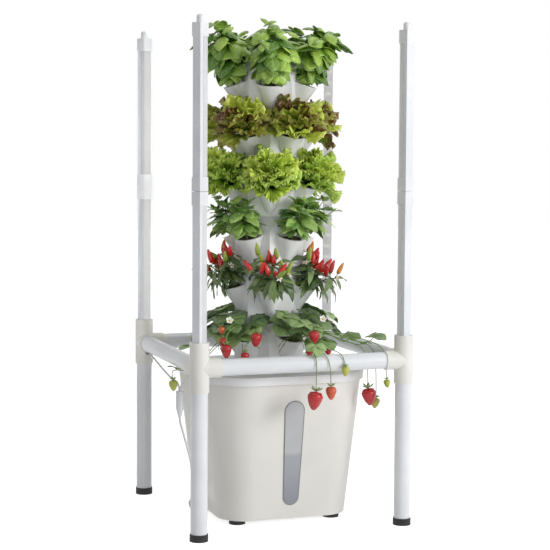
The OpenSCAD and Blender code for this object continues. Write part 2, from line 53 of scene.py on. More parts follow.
# Body that the planting and the cords belong to
BODY = "frame"


# Places taken from the frame

POCKETS = 5
POCKET_TILT = math.radians(18)
STEM_OUT = 93 * MM
STEM_UP = 69.5 * MM


def pocket(tier, index):
    """Frame of one pocket: origin on the growing medium, Z along the pocket's axis, X outwards"""
    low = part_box(f"tier_{tier}")[0][2]
    turn = math.pi * (tier % 2) + index * math.tau / POCKETS
    return (
        Matrix.Translation((0, 0, low))
        @ Matrix.Rotation(turn, 4, "Z")
        @ Matrix.Translation((STEM_OUT, 0, STEM_UP))
        @ Matrix.Rotation(POCKET_TILT, 4, "Y")
    )


# Materials

# Level window: where the water line fades, heights between which the water lightens, and ripple
WATER_LOW = 168 * MM
WATER_HIGH = 184 * MM
WATER_DARK = 40 * MM
WATER_PALE = 170 * MM
RIPPLE = 4 * MM
# Lamps on their boards: pitch, height of the break between the bars, first lamp, the lower bar's shift
LED_PITCH = 30 * MM
LED_BREAK = 810 * MM
LED_FIRST = 12.9 * MM
LED_SHIFT = 5.35 * MM
LED_GLOW = 0.9
# Half width of a lamp, where its edge starts to fade and where it ends
LED_CORE = 3 * MM
LED_RIM = 4.5 * MM
# How much the lamp cover hides of what is behind it
COVER = 0.66


def linear(red, green, blue):
    """Colour as it is seen, 0 to 255, to the shader's scale"""
    def one(value):
        part = value / 255
        return part / 12.92 if part <= 0.04045 else ((part + 0.055) / 1.055) ** 2.4
    return (one(red), one(green), one(blue), 1.0)


class Nodes:
    """Short calls for one material's node tree"""

    def __init__(self, name):
        self.material = bpy.data.materials.new(name)
        self.material.use_nodes = True
        self.tree = self.material.node_tree
        self.shader = self.tree.nodes["Principled BSDF"]
        self.place = self.new("ShaderNodeTexCoord").outputs["Object"]

    def new(self, kind, **settings):
        node = self.tree.nodes.new(kind)
        for key, value in settings.items():
            setattr(node, key, value)
        return node

    def feed(self, socket, value):
        if isinstance(value, bpy.types.NodeSocket):
            self.tree.links.new(value, socket)
        else:
            socket.default_value = value

    def math(self, operation, first, second=0.0):
        node = self.new("ShaderNodeMath", operation=operation)
        self.feed(node.inputs[0], first)
        self.feed(node.inputs[1], second)
        return node.outputs[0]

    def ramp(self, value, low, high, out_low=0.0, out_high=1.0):
        node = self.new("ShaderNodeMapRange", interpolation_type="SMOOTHSTEP")
        for key, number in zip(("Value", "From Min", "From Max", "To Min", "To Max"),
                               (value, low, high, out_low, out_high)):
            self.feed(node.inputs[key], number)
        return node.outputs[0]

    def noise(self, scale, detail=4.0):
        node = self.new("ShaderNodeTexNoise")
        self.feed(node.inputs["Vector"], self.place)
        node.inputs["Scale"].default_value = scale
        node.inputs["Detail"].default_value = detail
        return node.outputs[0]

    def mix(self, factor, first, second):
        node = self.new("ShaderNodeMix", data_type="RGBA")
        self.feed(node.inputs[0], factor)
        self.feed(node.inputs[6], first)
        self.feed(node.inputs[7], second)
        return node.outputs[2]

    def attribute(self, name):
        return self.new("ShaderNodeAttribute", attribute_name=name).outputs["Fac"]

    def bump(self, height, depth):
        node = self.new("ShaderNodeBump")
        node.inputs["Strength"].default_value = 1.0
        node.inputs["Distance"].default_value = depth
        self.feed(node.inputs["Height"], height)
        self.feed(self.shader.inputs["Normal"], node.outputs[0])

    def finish(self, colour, rough):
        self.feed(self.shader.inputs["Base Color"], colour)
        self.feed(self.shader.inputs["Roughness"], rough)
        return self.material


def moulded(name, colour, shade, rough, grain=900, depth=0.05 * MM, patch=9):
    """Moulded plastic or rubber: slight patches of shade, fine grain, uneven gloss"""
    n = Nodes(name)
    patches = n.noise(patch)
    tone = n.mix(n.ramp(patches, 0.35, 0.65), linear(*colour), linear(*shade))
    fine = n.noise(grain, 2.0)
    n.bump(fine, depth)
    return n.finish(tone, n.ramp(patches, 0.3, 0.7, rough - 0.05, rough + 0.05))


def window_material():
    """Smoky clear plastic, darker below the water line"""
    n = Nodes("window_smoke")
    split = n.new("ShaderNodeSeparateXYZ")
    n.feed(split.inputs[0], n.place)
    wobble = n.math("MULTIPLY", n.noise(60), RIPPLE)
    level = n.math("ADD", split.outputs[2], wobble)
    wet = n.ramp(level, WATER_LOW, WATER_HIGH, 1.0, 0.0)
    above = n.mix(n.noise(14), linear(192, 193, 194), linear(176, 178, 181))
    depth = n.ramp(level, WATER_DARK, WATER_PALE)
    below = n.mix(depth, linear(136, 140, 148), linear(160, 164, 171))
    n.bump(n.noise(180, 1.0), 0.08 * MM)
    n.shader.inputs["Coat Weight"].default_value = 0.4
    return n.finish(n.mix(wet, above, below), n.ramp(n.noise(30), 0.3, 0.7, 0.16, 0.26))


def lamp_material():
    """Pale grey board with whiter lamps at an even pitch"""
    n = Nodes("lamp_board")
    split = n.new("ShaderNodeSeparateXYZ")
    n.feed(split.inputs[0], n.place)
    facing = n.noise(160)
    board = n.mix(facing, linear(216, 215, 216), linear(204, 203, 205))
    chip = n.mix(facing, linear(255, 252, 240), linear(250, 244, 226))
    lower = n.math("MULTIPLY", n.math("LESS_THAN", split.outputs[2], LED_BREAK), LED_SHIFT)
    steps = n.math("SUBTRACT", n.math("SUBTRACT", split.outputs[2], LED_FIRST), lower)
    lamps = n.ramp(n.math("PINGPONG", steps, LED_PITCH / 2), LED_CORE, LED_RIM, 1.0, 0.0)
    n.shader.inputs["Emission Color"].default_value = linear(255, 250, 238)
    n.feed(n.shader.inputs["Emission Strength"], n.math("MULTIPLY", lamps, LED_GLOW))
    return n.finish(n.mix(lamps, board, chip), n.ramp(facing, 0.3, 0.7, 0.4, 0.55))


def lens_material():
    """Thin cover, frosted, with the lamps just showing"""
    n = Nodes("lens_clear")
    n.bump(n.noise(700, 1.0), 0.03 * MM)
    n.shader.inputs["Alpha"].default_value = COVER
    return n.finish(n.mix(n.noise(20), linear(246, 246, 248), linear(238, 239, 243)),
                    n.ramp(n.noise(50), 0.3, 0.7, 0.3, 0.42))


def soil_material():
    """Damp coir and bark"""
    n = Nodes("damp_coir")
    rough = n.noise(330, 6.0)
    n.bump(rough, 2.2 * MM)
    tone = n.mix(n.ramp(rough, 0.35, 0.7), linear(44, 31, 24), linear(101, 74, 55))
    return n.finish(tone, n.ramp(rough, 0.3, 0.7, 0.95, 0.7))


def leaf_material(name, dark, light, vein, veins, gloss, heart=None, margin=None, start=0.6,
                  relief=0.55):
    """Leaf with a midrib, side veins and mottling

    heart colours its foot, and margin its outer part from start
    """
    n = Nodes(name)
    along = n.attribute("along")
    across = n.math("ABSOLUTE", n.attribute("across"))
    mottle = n.noise(110)
    tint = n.attribute("tint")
    mixed = n.math("ADD", tint, n.math("MULTIPLY", mottle, 0.5))
    tone = n.mix(n.ramp(mixed, 0.2, 1.1), linear(*dark), linear(*light))
    if heart:
        tone = n.mix(n.ramp(along, 0.25, 0.8), linear(*heart), tone)
    if margin:
        outer = n.math("ADD", along, n.math("MULTIPLY", mottle, 0.45))
        outer = n.math("SUBTRACT", outer, n.math("MULTIPLY", tint, 0.55))
        tone = n.mix(n.ramp(outer, start, start + 0.42), tone, linear(*margin))
    rib = n.ramp(across, 0.02, 0.09, 1.0, 0.0)
    slant = n.math("SUBTRACT", n.math("MULTIPLY", along, veins), n.math("MULTIPLY", across, veins * 0.3))
    side = n.ramp(n.math("PINGPONG", slant, 0.5), 0.0, 0.12, 0.75, 0.0)
    web = n.math("MAXIMUM", rib, side)
    tone = n.mix(n.math("MULTIPLY", web, 0.42), tone, linear(*vein))
    n.bump(n.math("SUBTRACT", n.math("MULTIPLY", mottle, 0.4), web), relief * MM)
    n.shader.inputs["Subsurface Weight"].default_value = 0.12
    n.shader.inputs["Subsurface Radius"].default_value = (0.004, 0.006, 0.002)
    return n.finish(tone, n.ramp(mottle, 0.3, 0.7, gloss - 0.06, gloss + 0.08))


def fruit_material(name, green, turning, ripe, rough, seeds):
    """Fruit skin that goes from green to ripe with its tint, with seed pits where it has them"""
    n = Nodes(name)
    tint = n.math("ADD", n.attribute("tint"), n.math("MULTIPLY", n.noise(130), 0.12))
    tone = n.mix(n.ramp(tint, 0.1, 0.5), linear(*green), linear(*turning))
    tone = n.mix(n.ramp(tint, 0.55, 0.95), tone, linear(*ripe))
    if seeds:
        cell = n.new("ShaderNodeTexVoronoi")
        n.feed(cell.inputs["Vector"], n.place)
        cell.inputs["Scale"].default_value = seeds
        pit = n.ramp(cell.outputs["Distance"], 0.1, 0.32, 1.0, 0.0)
        tone = n.mix(n.math("MULTIPLY", pit, 0.4), tone, linear(222, 178, 92))
        n.bump(n.math("SUBTRACT", 1.0, pit), 0.7 * MM)
    n.shader.inputs["Coat Weight"].default_value = 0.2
    return n.finish(tone, n.ramp(n.noise(40), 0.3, 0.7, rough - 0.05, rough + 0.07))


SLOTS = {
    "pipe_white": moulded("pipe_white", (238, 240, 243), (230, 233, 237), 0.32),
    "fitting_ivory": moulded("fitting_ivory", (240, 238, 232), (233, 231, 225), 0.42, 700, 0.09 * MM),
    "black_rubber": moulded("black_rubber", (22, 22, 23), (14, 14, 15), 0.62, 600, 0.12 * MM),
    "tank_cream": moulded("tank_cream", (234, 232, 227), (228, 226, 220), 0.34, 800, 0.05 * MM, 5),
    "lid_white": moulded("lid_white", (243, 244, 244), (236, 237, 238), 0.38),
    "seal_grey": moulded("seal_grey", (136, 137, 138), (120, 121, 123), 0.55),
    "steel": moulded("steel_pin", (178, 180, 183), (150, 152, 156), 0.3),
    "pump_grey": moulded("pump_grey", (64, 66, 70), (50, 52, 56), 0.5),
    "tube_grey": moulded("tube_grey", (200, 202, 205), (186, 188, 192), 0.35),
    "column_white": moulded("column_white", (248, 248, 249), (240, 241, 243), 0.4, 800, 0.08 * MM),
    "bar_white": moulded("bar_white", (238, 240, 244), (228, 231, 236), 0.3),
    "cap_white": moulded("cap_white", (240, 241, 243), (231, 233, 236), 0.4),
    "cord_grey": moulded("cord_grey", (229, 230, 233), (217, 219, 222), 0.5),
    "window_clear": window_material(),
    "lens_clear": lens_material(),
    "lamp_board": lamp_material(),
    "medium_brown": soil_material(),
}

STEM = moulded("stem_green", (124, 156, 74), (98, 132, 54), 0.5, 500, 0.2 * MM, 40)
PETAL = moulded("petal_white", (247, 246, 240), (236, 235, 224), 0.55, 400, 0.15 * MM, 60)
POLLEN = moulded("flower_yellow", (226, 190, 70), (204, 164, 44), 0.7, 900, 0.4 * MM, 80)

LEAF = {
    "basil": leaf_material("leaf_basil", (74, 122, 26), (170, 206, 84), (196, 218, 134), 6, 0.27),
    "red_lettuce": leaf_material("leaf_red_lettuce", (102, 122, 20), (214, 228, 96), (230, 230, 140),
                                 7, 0.32, (104, 150, 26), (112, 70, 26), 0.68),
    "green_lettuce": leaf_material("leaf_green_lettuce", (116, 172, 26), (220, 240, 104), (226, 238, 146),
                                   7, 0.34, (70, 138, 14), (216, 244, 118), 0.7),
    "mint": leaf_material("leaf_mint", (78, 132, 42), (186, 222, 120), (210, 226, 164), 9, 0.36, relief=1.3),
    "chilli": leaf_material("leaf_chilli", (52, 82, 38), (136, 162, 98), (146, 170, 104), 7, 0.33),
    "strawberry": leaf_material("leaf_strawberry", (64, 98, 50), (164, 194, 124), (188, 208, 146), 8, 0.4,
                                relief=1.0),
}
CHILLI_SKIN = fruit_material("fruit_chilli", (150, 176, 62), (236, 152, 38), (206, 26, 22), 0.22, 0)
BERRY_SKIN = fruit_material("fruit_berry", (186, 198, 84), (232, 128, 54), (188, 14, 24), 0.3, 420)


def dress_cad():
    """Give each carried-over node the material of its slot"""
    for part in frame["record"]["subparts"]:
        material = SLOTS.get(part["material_slot"])
        if material:
            mesh = frame["nodes"][part["node"]].data
            mesh.materials.clear()
            mesh.materials.append(material)


# Mesh forms

# Materials of a plant, in the order that its piece holds them
LEAF_SLOT, STEM_SLOT, FRUIT_SLOT, PETAL_SLOT, POLLEN_SLOT = range(5)
# Any direction, from which the ring of a stalk starts
ANY_WAY = Vector((0.31, 0.86, 0.4))
# Points to each stretch of a bowed stalk or cord
BOW_STEPS = 4


class Shape:
    """Points and faces gathered for one piece, with the values that leaf and fruit materials read"""

    def __init__(self, name, materials, clear):
        self.name = name
        self.materials = materials
        self.clear = clear
        self.points = []
        self.faces = []
        self.face_slot = []
        self.along = []
        self.across = []
        self.tint = []

    def point(self, place, along, across, tint):
        """Add a point, moved out to the radius that is kept clear, and return its number"""
        away = math.hypot(place.x, place.y)
        if away < self.clear:
            place = Vector((place.x * self.clear / away, place.y * self.clear / away, place.z))
        self.points.append(place)
        self.along.append(along)
        self.across.append(across)
        self.tint.append(tint)
        return len(self.points) - 1

    def face(self, corners, slot):
        self.faces.append(corners)
        self.face_slot.append(slot)

    def rings(self, rows, slot, closed):
        """Join rows of point numbers with quads"""
        for low, high in zip(rows, rows[1:]):
            count = len(low)
            for k in range(count if closed else count - 1):
                m = (k + 1) % count
                self.face((low[k], low[m], high[m], high[k]), slot)

    def build(self, thick):
        """Make the piece, with sheets of the given thickness, and let it ride on its body"""
        mesh = bpy.data.meshes.new(self.name)
        mesh.from_pydata([tuple(p) for p in self.points], [], self.faces)
        for material in self.materials:
            mesh.materials.append(material)
        mesh.polygons.foreach_set("material_index", self.face_slot)
        mesh.polygons.foreach_set("use_smooth", [True] * len(self.faces))
        for label, values in (("along", self.along), ("across", self.across), ("tint", self.tint)):
            mesh.attributes.new(label, "FLOAT", "POINT").data.foreach_set("value", values)
        mesh.update()
        piece = bpy.data.objects.new(self.name, mesh)
        bpy.context.scene.collection.objects.link(piece)
        skin = piece.modifiers.new("thickness", "SOLIDIFY")
        skin.thickness = thick
        skin.offset = 0.0
        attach(piece, BODY)
        return piece


def around(corners):
    """Angles of the corners of a round form"""
    return [k * math.tau / corners for k in range(corners)]


def stalk(shape, place, line, low, high, tint=0.5, corners=6):
    """Closed round stalk along points, from radius low to radius high"""
    line = [place @ Vector(p) for p in line]
    first = ANY_WAY
    rows = []
    for i, spot in enumerate(line):
        way = (line[min(i + 1, len(line) - 1)] - line[max(i - 1, 0)]).normalized()
        first = (first - way * first.dot(way)).normalized()
        second = way.cross(first)
        share = i / (len(line) - 1)
        radius = low + (high - low) * share
        rows.append([
            shape.point(spot + radius * (math.cos(a) * first + math.sin(a) * second), share, 0.5, tint)
            for a in around(corners)
        ])
    shape.rings(rows, STEM_SLOT, True)
    shape.face(tuple(reversed(rows[0])), STEM_SLOT)
    shape.face(tuple(rows[-1]), STEM_SLOT)


def turned(shape, place, profile, slot, tint, corners=10):
    """Closed form turned about Z, from (radius, height) points whose first and last radius is 0"""
    bottom = shape.point(place @ Vector((0, 0, profile[0][1])), 0, 0.5, tint)
    rows = []
    for j, (radius, high) in enumerate(profile[1:-1]):
        share = (j + 1) / (len(profile) - 1)
        rows.append([
            shape.point(place @ Vector((radius * math.cos(a), radius * math.sin(a), high)), share, 0.5, tint)
            for a in around(corners)
        ])
    top = shape.point(place @ Vector((0, 0, profile[-1][1])), 1, 0.5, tint)
    shape.rings(rows, slot, True)
    for k in range(corners):
        m = (k + 1) % corners
        shape.face((bottom, rows[0][m], rows[0][k]), slot)
        shape.face((top, rows[-1][k], rows[-1][m]), slot)


# Leaf forms: slim and ruffle as shares of the length, cup, fold and teeth of the half width, droop in radians
Blade = namedtuple("Blade", "slim early blunt cup fold droop teeth notches ruffle waves rows columns")

BASIL = Blade(0.72, 0.8, 0.7, 0.42, 0.04, 1.3, 0.02, 5, 0.018, 2.5, 10, 6)
MINT = Blade(0.58, 0.76, 0.8, 0.16, 0.12, 0.8, 0.13, 7, 0.014, 3, 21, 4)
NARROW = Blade(0.27, 0.86, 0.95, 0.1, 0.22, 1.3, 0.0, 1, 0.02, 1.5, 9, 4)
LEAFLET = Blade(0.9, 0.92, 0.6, 0.12, 0.22, 0.7, 0.14, 8, 0.02, 2, 24, 4)
SEPAL = Blade(0.42, 0.8, 0.9, 0.0, 0.1, -0.8, 0.0, 1, 0.0, 1, 4, 2)
PETAL_FORM = Blade(0.8, 1.1, 0.7, -0.2, 0.0, -0.4, 0.0, 1, 0.02, 1, 5, 4)
STAR_FORM = Blade(0.46, 0.8, 0.9, 0.0, 0.1, 0.5, 0.0, 1, 0.0, 1, 4, 2)
# Where a leaf's outline starts and how much of it is used, so that foot and tip keep some width
BLADE_FOOT = 0.02
BLADE_RUN = 0.965
# Lettuce leaves: half the angle of the fan, and the rows and columns of their mesh
FRILL_SPREAD = math.radians(62)
FRILL_ROWS = 9
FRILL_COLUMNS = 72


def blade(shape, place, length, form, rng, slot, tint):
    """Leaf from its base along +X, upper side to +Z"""
    phase = rng.uniform(0, math.tau)
    droop = form.droop * rng.uniform(0.7, 1.3)
    rows = []
    for i in range(form.rows + 1):
        u = BLADE_FOOT + BLADE_RUN * i / form.rows
        wide = 0.5 * form.slim * length * math.sin(math.pi * u ** form.early) ** form.blunt
        bend = droop * u
        spine = Vector((length * math.sin(bend) / droop, 0, -length * (1 - math.cos(bend)) / droop))
        normal = Vector((math.sin(bend), 0, math.cos(bend)))
        saw = (u * form.notches) % 1
        row = []
        for j in range(form.columns + 1):
            v = 2 * j / form.columns - 1
            reach = v * wide * (1 + form.teeth * (saw - 0.5) * abs(v) ** 3)
            lift = wide * (form.fold * abs(v) - form.cup * v * v)
            lift += form.ruffle * length * v * v * math.sin(math.tau * form.waves * u + phase + 1.3 * (v > 0))
            row.append(shape.point(place @ (spine + normal * lift + Vector((0, reach, 0))), u, v, tint))
        rows.append(row)
    shape.rings(rows, slot, False)


def frill(shape, place, length, waves, depth, curl, tint, rng):
    """Broad lettuce leaf: an arching fan whose outer edge runs in waves, from its base along +X"""
    phase = rng.uniform(0, math.tau)
    other = rng.uniform(0, math.tau)
    seed = Vector((rng.uniform(0, 90), rng.uniform(0, 90), 0))
    grid = []
    for i in range(FRILL_ROWS + 1):
        r = 0.05 + 0.95 * (i / FRILL_ROWS) ** 0.75
        row = []
        for j in range(FRILL_COLUMNS + 1):
            v = 2 * j / FRILL_COLUMNS - 1
            turn = v * FRILL_SPREAD * (0.25 + 0.75 * r)
            reach = r * (1 - 0.28 * v * v + 0.06 * math.cos(3 * math.pi * v + other))
            angle = waves * math.pi * v + phase + 1.2 * noise.noise(seed + Vector((4 * v, 0, 7)))
            edge = depth * r ** 3
            swell = noise.noise(seed + Vector((3 * v, 3 * r, 0))) * 0.13 * r
            swell += 0.07 * r * r * math.sin(4 * math.pi * v + other)
            bend = curl * reach * math.cos(turn)
            lift = 0.2 * v * v * r + edge * math.sin(angle) + swell
            side = 0.86 * reach * math.sin(turn) + 0.5 * edge * math.sin(2 * angle + other)
            spot = Vector((
                math.sin(bend) / curl + lift * math.sin(bend),
                side,
                (math.cos(bend) - 1) / curl + lift * math.cos(bend),
            ))
            row.append(shape.point(place @ (spot * length), r, v, tint))
        grid.append(row)
    shape.rings(grid, LEAF_SLOT, False)


def at(spot, turn, rise):
    """Place at a spot, facing turn about Z and raised by rise, both in degrees"""
    return (
        Matrix.Translation(spot)
        @ Matrix.Rotation(math.radians(turn), 4, "Z")
        @ Matrix.Rotation(math.radians(-rise), 4, "Y")
    )


def arch(start, end, bulge, steps=6):
    """Points on a bow from start to end, pulled towards bulge at its middle"""
    start, end, bulge = Vector(start), Vector(end), Vector(bulge)
    return [
        (1 - t) ** 2 * start + 2 * t * (1 - t) * (bulge * 2 - (start + end) / 2) + t * t * end
        for t in (i / steps for i in range(steps + 1))
    ]


def smooth(points, steps):
    """Catmull-Rom curve through the points"""
    out = []
    for i in range(len(points) - 1):
        a, b, c, d = (points[min(max(k, 0), len(points) - 1)] for k in (i - 1, i, i + 1, i + 2))
        for j in range(steps):
            t = j / steps
            out.append(0.5 * (2 * b + (c - a) * t + (2 * a - 5 * b + 4 * c - d) * t ** 2
                              + (3 * b - a - 3 * c + d) * t ** 3))
    return out + [points[-1]]


# Plants; each is grown from a pocket's frame

# Golden share by which leaves step across a fan, the fan's widest angle from outwards, the golden angle
GOLDEN = 0.618
FAN = 125
SPIRAL = 137.5
# Pairs of leaves up a stem: share of its height, length in mm, rise in degrees
BASIL_PAIRS = ((0.46, 42, -14), (0.6, 58, -12), (0.75, 66, -6), (0.9, 62, 8))
BASIL_TIP = ((1.0, 46, 16), (1.0, 24, 52))
MINT_PAIRS = ((0.38, 42, 2), (0.54, 52, 4), (0.7, 52, 12), (0.86, 44, 26))
MINT_TIP = ((1.0, 30, 46), (1.0, 18, 64))
# Foot of such a leaf, as a share of its length, and its radius
BASIL_FOOT = 0.12
MINT_FOOT = 0.1
TIP_FOOT = 0.06
FOOT_THICK = 0.8 * MM
# Stems to a pocket, and the height of the tallest basil in mm
BASIL_SHOOTS = 8
BASIL_HIGH = 160
MINT_SHOOTS = 6
CHILLI_SHOOTS = 5
# Chilli: leaves and pods to a stem, length of the stalks of pods and flowers
CHILLI_LEAVES = 14
CHILLI_PODS = 3
POD_STALK = 16 * MM
BLOOM_STALK = 22 * MM
# Strawberry: leaves and bare stalks to a pocket
STRAWBERRY_LEAVES = 10
STRAWBERRY_STALKS = 6
# Lettuce: leaves, length of the outer ones and what the inner ones gain in mm, rise of the innermost
LETTUCE_LEAVES = 15
LETTUCE_LONG = 92
LETTUCE_GAIN = 20
LETTUCE_UPRIGHT = 86
# Ripeness that a pod is drawn from, and the parts of flower and berry
POD_RIPE = (0.04, 0.1, 0.5, 1.0, 1.0, 1.0, 1.0, 1.0)
PETALS = 5
SEPALS = 7


def lean_out(pocket_frame, lean):
    """The pocket's frame, leant outwards by lean in degrees"""
    return pocket_frame @ Matrix.Rotation(math.radians(lean), 4, "Y")


def leant(turn, lean, high):
    """Tip of a stem of length high that leans by lean towards turn, both in degrees"""
    out = math.radians(lean)
    tip = Vector((high * math.sin(out), 0, high * math.cos(out)))
    return Matrix.Rotation(math.radians(turn), 3, "Z") @ tip


def outward(turn):
    """1 for a stem that faces away from the column, 0 for one that faces it"""
    return 0.5 + 0.5 * math.cos(math.radians(turn))


def fanned(n):
    """Facing of leaf n in degrees from outwards, with all leaves spread evenly over the fan"""
    return FAN * (2 * ((n * GOLDEN + 0.5) % 1) - 1)


def shoot(shape, place, turn, lean, high, thick, rng):
    """One stem that bows as it rises; returns its points"""
    tip = leant(turn, lean, high)
    way = Matrix.Rotation(math.radians(turn), 3, "Z")
    middle = tip * 0.5 + way @ Vector((-0.06 * high, rng.uniform(-0.03, 0.03) * high, 0))
    line = arch((0, 0, -8 * MM), tip, middle, 8)
    stalk(shape, place, line, thick, thick * 0.6)
    return line


def paired(shape, place, line, pairs, turn, form, foot, rng):
    """Opposite pairs of leaves up a stem, each pair a quarter turn from the last"""
    for n, (share, size, rise) in enumerate(pairs):
        spot = line[int(share * (len(line) - 1))]
        for side in (0, 180):
            facing = turn + 90 * n + side + rng.uniform(-18, 18)
            tilt = rise + rng.uniform(-10, 10)
            length = size * MM * rng.uniform(0.88, 1.1)
            base = at(spot, facing, tilt)
            stalk(shape, place @ base, [(0, 0, 0), (foot * length, 0, 0)], FOOT_THICK, FOOT_THICK, 0.5, 4)
            roll = Matrix.Rotation(rng.uniform(-0.5, 0.5), 4, "X")
            leaf = base @ Matrix.Translation((foot * length, 0, 0)) @ roll
            blade(shape, place @ leaf, length, form, rng, LEAF_SLOT, rng.uniform(0.0, 1.0))


def basil(shape, place, rng):
    place = lean_out(place, -2)
    for s in range(BASIL_SHOOTS):
        turn = 360 / BASIL_SHOOTS * s + rng.uniform(-16, 16)
        high = rng.uniform(0.6, 1.0) * BASIL_HIGH * MM
        line = shoot(shape, place, turn, rng.uniform(2, 17), high, 1.4 * MM, rng)
        paired(shape, place, line, BASIL_PAIRS, turn + 45, BASIL, BASIL_FOOT, rng)
        paired(shape, place, line, BASIL_TIP, turn, BASIL, TIP_FOOT, rng)


def lettuce(shape, place, rng, waves, depth, low):
    """Rosette of frilled leaves, from rise low at its outside to nearly upright at its heart"""
    place = lean_out(place, -4)
    for n in range(LETTUCE_LEAVES):
        share = n / (LETTUCE_LEAVES - 1)
        facing = fanned(n) + rng.uniform(-8, 8)
        rise = low + (LETTUCE_UPRIGHT - low) * share + rng.uniform(-6, 6)
        length = (LETTUCE_LONG + LETTUCE_GAIN * share) * MM * rng.uniform(0.92, 1.06)
        length *= 1 - 0.2 * abs(facing) / FAN
        base = at((0, 0, (2 + 6 * share) * MM), facing, rise)
        curl = rng.uniform(0.4, 0.95)
        frill(shape, place @ base, length, waves, depth, curl, rng.uniform(0, 1), rng)


def red_lettuce(shape, place, rng):
    lettuce(shape, place, rng, waves=11, depth=0.06, low=26)


def green_lettuce(shape, place, rng):
    lettuce(shape, place, rng, waves=20, depth=0.07, low=16)


def mint(shape, place, rng):
    place = lean_out(place, 2)
    for s in range(MINT_SHOOTS):
        turn = 360 / MINT_SHOOTS * s + rng.uniform(-20, 20)
        out = outward(turn)
        high = rng.uniform(84, 112) * MM * (0.85 + 0.15 * out)
        lean = rng.uniform(8, 34) * (0.35 + 0.65 * out)
        line = shoot(shape, place, turn, lean, high, 1.5 * MM, rng)
        paired(shape, place, line, MINT_PAIRS, turn, MINT, MINT_FOOT, rng)
        paired(shape, place, line, MINT_TIP, turn, MINT, TIP_FOOT, rng)


def pod(shape, place, rng, ripe):
    """Small chilli with its green cap"""
    long = rng.uniform(29, 37) * MM
    wide = long * 0.19
    profile = [(0, 0), (wide * 0.8, 0.6 * MM), (wide, long * 0.2), (wide * 0.9, long * 0.5),
               (wide * 0.55, long * 0.8), (wide * 0.2, long * 0.96), (0, long)]
    turned(shape, place, profile, FRUIT_SLOT, ripe)
    cap = [(0, -3 * MM), (1.2 * MM, -2.6 * MM), (wide * 0.92, 0.4 * MM), (0, 1.2 * MM)]
    turned(shape, place, cap, STEM_SLOT, 0.6, 8)


def flower(shape, place, size, form, rng):
    """Open flower of five petals that faces +Z"""
    for k in range(PETALS):
        blade(shape, place @ at((0, 0, 0), 360 / PETALS * k, 14), size, form, rng, PETAL_SLOT, 0.8)
    heart = [(0, -0.6 * MM), (size * 0.26, 0.2 * MM), (size * 0.2, 1.8 * MM), (0, 2.4 * MM)]
    turned(shape, place, heart, POLLEN_SLOT, 0.5, 8)


def chilli(shape, place, rng):
    place = lean_out(place, 10)
    for s in range(CHILLI_SHOOTS):
        turn = 360 / CHILLI_SHOOTS * s + rng.uniform(-20, 20)
        out = outward(turn)
        high = rng.uniform(54, 88) * MM
        lean = rng.uniform(16, 48) * (0.4 + 0.6 * out)
        line = shoot(shape, place, turn, lean, high, 1.6 * MM, rng)
        for n in range(CHILLI_LEAVES):
            base = at(line[3 + n % 6], turn + SPIRAL * n, rng.uniform(-18, 44))
            blade(shape, place @ base, rng.uniform(46, 72) * MM, NARROW, rng, LEAF_SLOT, rng.uniform(0, 1))
        for n in range(CHILLI_PODS):
            base = at(line[-1 - n], turn + 360 / CHILLI_PODS * n + rng.uniform(-40, 40), rng.uniform(34, 82))
            pod_stalk = [(0, 0, 0), (10 * MM, 0, 0), (POD_STALK, 0, 0)]
            stalk(shape, place @ base, pod_stalk, 0.9 * MM, 1.0 * MM)
            hang = Matrix.Rotation(math.radians(rng.uniform(50, 95)), 4, "Y")
            head = base @ Matrix.Translation((POD_STALK, 0, 0)) @ hang
            pod(shape, place @ head, rng, rng.choice(POD_RIPE))
        bloom = at(line[-2], turn + rng.uniform(-50, 50), rng.uniform(0, 40))
        stalk(shape, place @ bloom, [(0, 0, 0), (BLOOM_STALK, 0, 0)], 0.7 * MM, 0.7 * MM)
        head = bloom @ Matrix.Translation((BLOOM_STALK, 0, 0)) @ Matrix.Rotation(math.radians(80), 4, "Y")
        flower(shape, place @ head, 11 * MM, STAR_FORM, rng)


def trefoil(shape, place, line, size, facing, rise, rng):
    """Three toothed leaflets on a long stalk"""
    stalk(shape, place, line, 1.3 * MM, 1.0 * MM)
    head = at(line[-1], facing, rise)
    tint = rng.uniform(0, 1)
    for side in (-74, 0, 74):
        leaf = head @ at((0, 0, 0), side, 6 if side else 0)
        blade(shape, place @ leaf, size * (1.0 if side == 0 else 0.92), LEAFLET, rng, LEAF_SLOT, tint)


def berry(shape, place, size, ripe, rng):
    """Strawberry that hangs along -Z from its green cap"""
    wide = size * 0.41
    profile = [(0, -size), (wide * 0.3, -size * 0.95), (wide * 0.66, -size * 0.74),
               (wide * 0.92, -size * 0.46), (wide, -size * 0.25), (wide * 0.74, -size * 0.06), (0, 0)]
    turned(shape, place, profile, FRUIT_SLOT, ripe, 14)
    for k in range(SEPALS):
        sepal = at((0, 0, 0.4 * MM), 360 / SEPALS * k + rng.uniform(-9, 9), 12)
        blade(shape, place @ sepal, size * 0.46, SEPAL, rng, LEAF_SLOT, 0.8)


def strawberry(shape, place, rng):
    place = lean_out(place, 8)
    for n in range(STRAWBERRY_LEAVES):
        facing = fanned(n)
        inward = abs(facing) / FAN
        lean = rng.uniform(16, 66) * (1 - 0.5 * inward)
        high = rng.uniform(66, 104) * MM * (1 - 0.3 * inward)
        tip = leant(facing, lean, high)
        line = arch((0, 0, -6 * MM), tip, tip * 0.5 + Vector((0, 0, 10 * MM)))
        size = rng.uniform(44, 58) * MM
        turn = facing + rng.uniform(-30, 30)
        trefoil(shape, place, line, size, turn, rng.uniform(-6, 34), rng)
    for n in range(STRAWBERRY_STALKS):
        way = Matrix.Rotation(math.radians(rng.uniform(-80, 80)), 3, "Z")
        end = way @ Vector((rng.uniform(40, 58) * MM, 0, rng.uniform(-26, 30) * MM))
        line = arch((0, 0, -6 * MM), end, end * 0.5 + Vector((0, 0, 16 * MM)))
        stalk(shape, place, line, 1.0 * MM, 0.6 * MM, 0.2)


